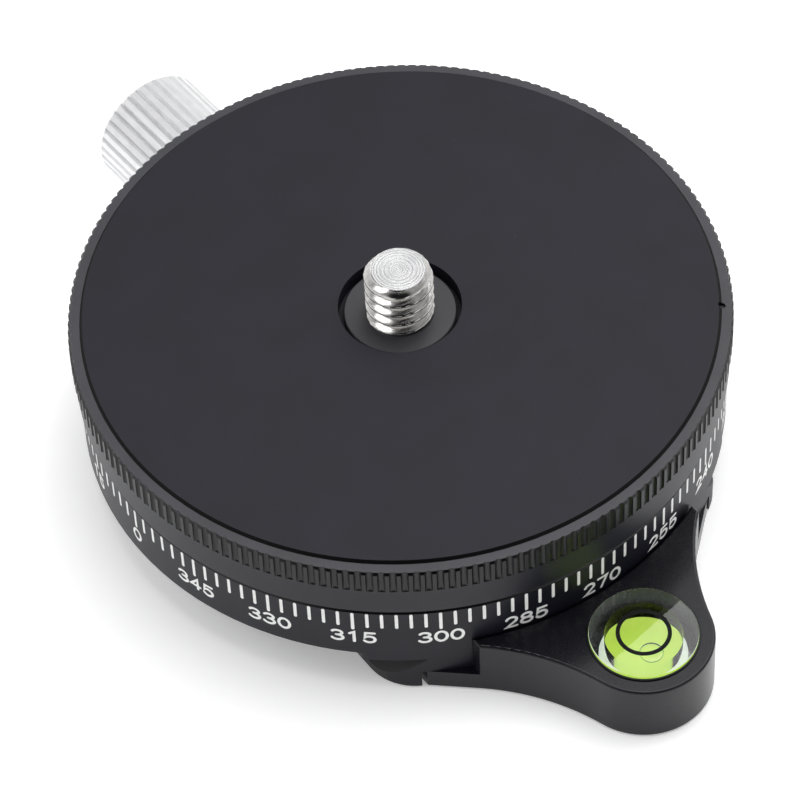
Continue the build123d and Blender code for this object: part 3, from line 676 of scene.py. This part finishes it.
def make_scale():
    """Lines every 2.5 degrees, a number at every 15, painted into the wall."""
    lines = Shape()
    numbers = Shape()
    count = round(360 / TICK_STEP)
    per_label = round(LABEL_STEP / TICK_STEP)
    inset = TICK_W / 2
    for i in range(count):
        angle = radians(SCALE_ZERO - i * TICK_STEP)
        low = TICK_LONG_LOW if i % per_label == 0 else TICK_LOW
        if clear_of_lock(angle, TICK_W):
            ribbon(lines, [(0, TICK_TOP - inset), (0, low + inset)], TICK_W, angle)
    for i in range(count // per_label):
        angle = radians(SCALE_ZERO - i * LABEL_STEP)
        text = str(i * LABEL_STEP)
        if not clear_of_lock(angle, DIGIT_PITCH):
            continue
        start = -(len(text) - 1) / 2 * DIGIT_PITCH - DIGIT_W / 2
        wide = DIGIT_W - STROKE_W
        tall = DIGIT_H - STROKE_W
        low = DIGIT_TOP - DIGIT_H + STROKE_W / 2
        for k, digit in enumerate(text):
            left = start + k * DIGIT_PITCH + STROKE_W / 2
            for stroke in DIGITS[digit]:
                closed = (Vector(stroke[0]) - Vector(stroke[-1])).length < 1e-6
                run = stroke[:-1] if closed else stroke
                places = [(left + x * wide, low + y * tall) for x, y in run]
                ribbon(numbers, places, STROKE_W, angle, closed)
    add_piece("scale_lines", lines.verts, lines.faces, "paint", "base")
    add_piece("scale_numbers", numbers.verts, numbers.faces, "paint", "base")


# Camera stud, 1/4 inch-20
STUD_R = next(m["dims"]["r_mm"] for m in frame["record"]["mounts"] if m["name"] == "camera_screw") * MM
STUD_PITCH = 1.27 * MM
STUD_DEPTH = 0.72 * MM
STUD_END = 0.66 * MM                     # rounding of the stud's end
STUD_STEPS = 120
STUD_ROWS = 22                           # rows of points in one pitch
STUD_PHASE = 0.32                        # where the thread starts, share of a turn
# Shape of one pitch: share of the pitch going up, share of the depth under the crest
THREAD = (
    (0.0, 0.0), (0.1, 0.0), (0.14, 0.06), (0.46, 0.93), (0.52, 1.0),
    (0.58, 1.0), (0.64, 0.93), (0.96, 0.06), (1.0, 0.0),
)
STUD_ROUNDING = 1.6                      # power of the end's rounding
END_RINGS = ((0.97, 0.0), (0.5, 0.01 * MM), (0.12, 0.015 * MM))    # share of the end's radius, and drop
THREAD_START = 0.3 * MM                  # how far under the seat's face the thread starts
END_FLAT = 0.9                           # upright share of the normal, above which a face is the end's, which gets a lighter steel as painted light
END_REACH = 0.1 * MM
SHANK_GAP = 0.02 * MM
SHANK_STEPS = 64


def thread_depth(share):
    """Share of the thread's depth at a share of its pitch."""
    share %= 1
    for (low, first), (high, last) in zip(THREAD, THREAD[1:]):
        if share <= high:
            return first + (last - first) * (share - low) / (high - low)


def make_stud():
    """Threaded stud with a rounded, faced end, over its plain shank and trapped collar."""
    low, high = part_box("camera_screw")
    seat_low, seat_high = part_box("screw_seat")
    thread_low = seat_high.z - THREAD_START
    round_low = high.z - STUD_END
    shape = Shape()
    count = int((high.z - thread_low) / STUD_PITCH * STUD_ROWS) + 1
    rows = []
    for k in range(count + 1):
        height = thread_low + (high.z - thread_low) * k / count
        over = max(0.0, height - round_low) / STUD_END
        row = []
        for i in range(STUD_STEPS):
            turn = i / STUD_STEPS
            share = (height - thread_low) / STUD_PITCH - turn + STUD_PHASE
            radius = STUD_R - max(thread_depth(share) * STUD_DEPTH, STUD_END * over ** STUD_ROUNDING)
            row.append(shape.point((radius * cos(tau * turn), radius * sin(tau * turn), height)))
        rows.append(row)
    for below, above in zip(rows, rows[1:]):
        for i in range(STUD_STEPS):
            j = (i + 1) % STUD_STEPS
            shape.faces.append((below[i], below[j], above[j], above[i]))
    shape.faces.append(tuple(reversed(rows[0])))
    end = rows[-1]
    for share, drop in END_RINGS:
        radius = (STUD_R - STUD_END) * share
        turns = [tau * i / STUD_STEPS for i in range(STUD_STEPS)]
        ring = [shape.point((radius * cos(turn), radius * sin(turn), high.z - drop)) for turn in turns]
        for i in range(STUD_STEPS):
            j = (i + 1) % STUD_STEPS
            shape.faces.append((end[i], end[j], ring[j], ring[i]))
        end = ring
    shape.faces.append(tuple(end))
    shank_r = STUD_R - SHANK_GAP
    collar_r = (high.x - low.x) / 2
    collar = [(0, low.z), (collar_r, low.z), (collar_r, seat_low.z)]
    shank = [(shank_r, seat_low.z), (shank_r, thread_low), (0, thread_low)]
    shape.lathe(collar + shank, SHANK_STEPS)
    stud = add_piece("stud", shape.verts, shape.faces, "stainless", "rotor", ("camera_screw",))
    # The end face gets the lighter steel: painted light on the stud's top
    stud.data.materials.append(M["stud_end"])
    for face in stud.data.polygons:
        if face.normal.z > END_FLAT and face.center.z > high.z - END_REACH:
            face.material_index = 1


# Bubble level
VIAL_BEVEL = 0.12 * MM
SLEEVE_W = 0.16 * MM                     # black sleeve between the clear body and its pocket, partly painted shade for the gap there
CONTACT = 0.02 * MM                      # the sleeve and the backing reach this far into the clear body
BUBBLE_R = 1.07 * MM
BUBBLE_H = 0.3 * MM
BUBBLE_EDGE = 0.12 * MM
BUBBLE_OFFSET = (-0.62 * MM, -1.92 * MM)  # from the vial's axis, along +X and +Y
BUBBLE_RISE = 0.1 * MM                   # top of the bubble over the cup's rim
SLEEVE_DROP = 0.15 * MM                  # sleeve's upper edge under the window's face
VIAL_STEPS = 128
BUBBLE_STEPS = 64


def hollow(radius, low, rise, count=10):
    """Profile of the shallow dome under the window, from its rim to its middle."""
    ball = (radius ** 2 + rise ** 2) / (2 * rise)
    return [
        (radius * (1 - i / count), low + rise - ball + sqrt(ball ** 2 - (radius * (1 - i / count)) ** 2))
        for i in range(count + 1)
    ]


def bend(radius, height, size, angles):
    """Points of a rounded corner; its angle 0 points up and 90 outwards."""
    return [(radius + size * sin(radians(a)), height + size * cos(radians(a))) for a in angles]


def make_vial():
    """Clear body with its window, the liquid's surface, the bubble, and the black sleeve round the body, which is
    partly painted shade for the gap round the window.
    """
    cup_low, cup_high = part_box("vial_cup")
    lens_low, lens_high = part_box("vial_lens")
    liquid_low, liquid_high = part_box("vial_liquid")
    centre = ((lens_low.x + lens_high.x) / 2, (lens_low.y + lens_high.y) / 2)
    out_r = (lens_high.x - lens_low.x) / 2
    body_r = out_r - SLEEVE_W
    in_r = (liquid_high.x - liquid_low.x) / 2
    rise = liquid_high.z - cup_high.z
    top = lens_high.z
    low = cup_low.z - CONTACT
    body = Shape()
    bevel = bend(body_r - VIAL_BEVEL, top - VIAL_BEVEL, VIAL_BEVEL, (90, 67.5, 45, 22.5, 0))
    face = [(body_r - VIAL_BEVEL - CONTACT, top), (0, top)]
    body.lathe([(0, low), (body_r, low), *bevel, *face], VIAL_STEPS, centre)
    replaced = ("vial_cup", "vial_lens")
    add_piece("vial_body", body.verts, body.faces, "acrylic", "base", replaced)

    # The liquid's surface lies inside the clear body, so it bends light by the ratio of the two
    liquid = Shape()
    cavity = [(0, liquid_low.z), (in_r, liquid_low.z), *hollow(in_r, cup_high.z, rise)]
    liquid.lathe(cavity, VIAL_STEPS, centre, inward=True)
    wet = len(liquid.faces)
    place = (centre[0] + BUBBLE_OFFSET[0], centre[1] + BUBBLE_OFFSET[1])
    high = cup_high.z + BUBBLE_RISE
    low_edge = high - BUBBLE_H
    half = BUBBLE_EDGE / 2
    corner = bend(BUBBLE_R - BUBBLE_EDGE, low_edge + BUBBLE_EDGE, BUBBLE_EDGE, (180, 157.5, 135, 112.5, 90))
    crown = bend(BUBBLE_R - half, high - half, half, (90, 60, 30, 0))
    liquid.lathe([(0, low_edge), *corner, *crown, (0, high)], BUBBLE_STEPS, place, inward=True)
    replaced = ("vial_liquid",)
    spirit = add_piece("vial_spirit", liquid.verts, liquid.faces, "spirit", "base", replaced)
    spirit.data.materials.append(M["bubble"])
    for face in spirit.data.polygons:
        middle = Vector(face.center[:2]) - Vector(place)
        if face.index >= wet and middle.length < BUBBLE_R:
            face.material_index = 1

    # Black sleeve, partly painted shade for the gap round the window
    sleeve = Shape()
    high = top - SLEEVE_DROP
    in_r = body_r - CONTACT
    outside = [(out_r, low), (out_r, high - CONTACT), (out_r - CONTACT, high)]
    sleeve.lathe([(in_r, low), *outside, (in_r, high)], VIAL_STEPS, centre)
    sleeve.lathe([(in_r, low), (in_r, high)], VIAL_STEPS, centre, inward=True)
    add_piece("vial_shade_sleeve", sleeve.verts, sleeve.faces, "sleeve", "base")


make_camera()
make_world()
make_lights()
make_floor()
dress_frame()
make_scale()
make_stud()
make_vial()

bpy.context.scene.view_settings.view_transform = "Standard"
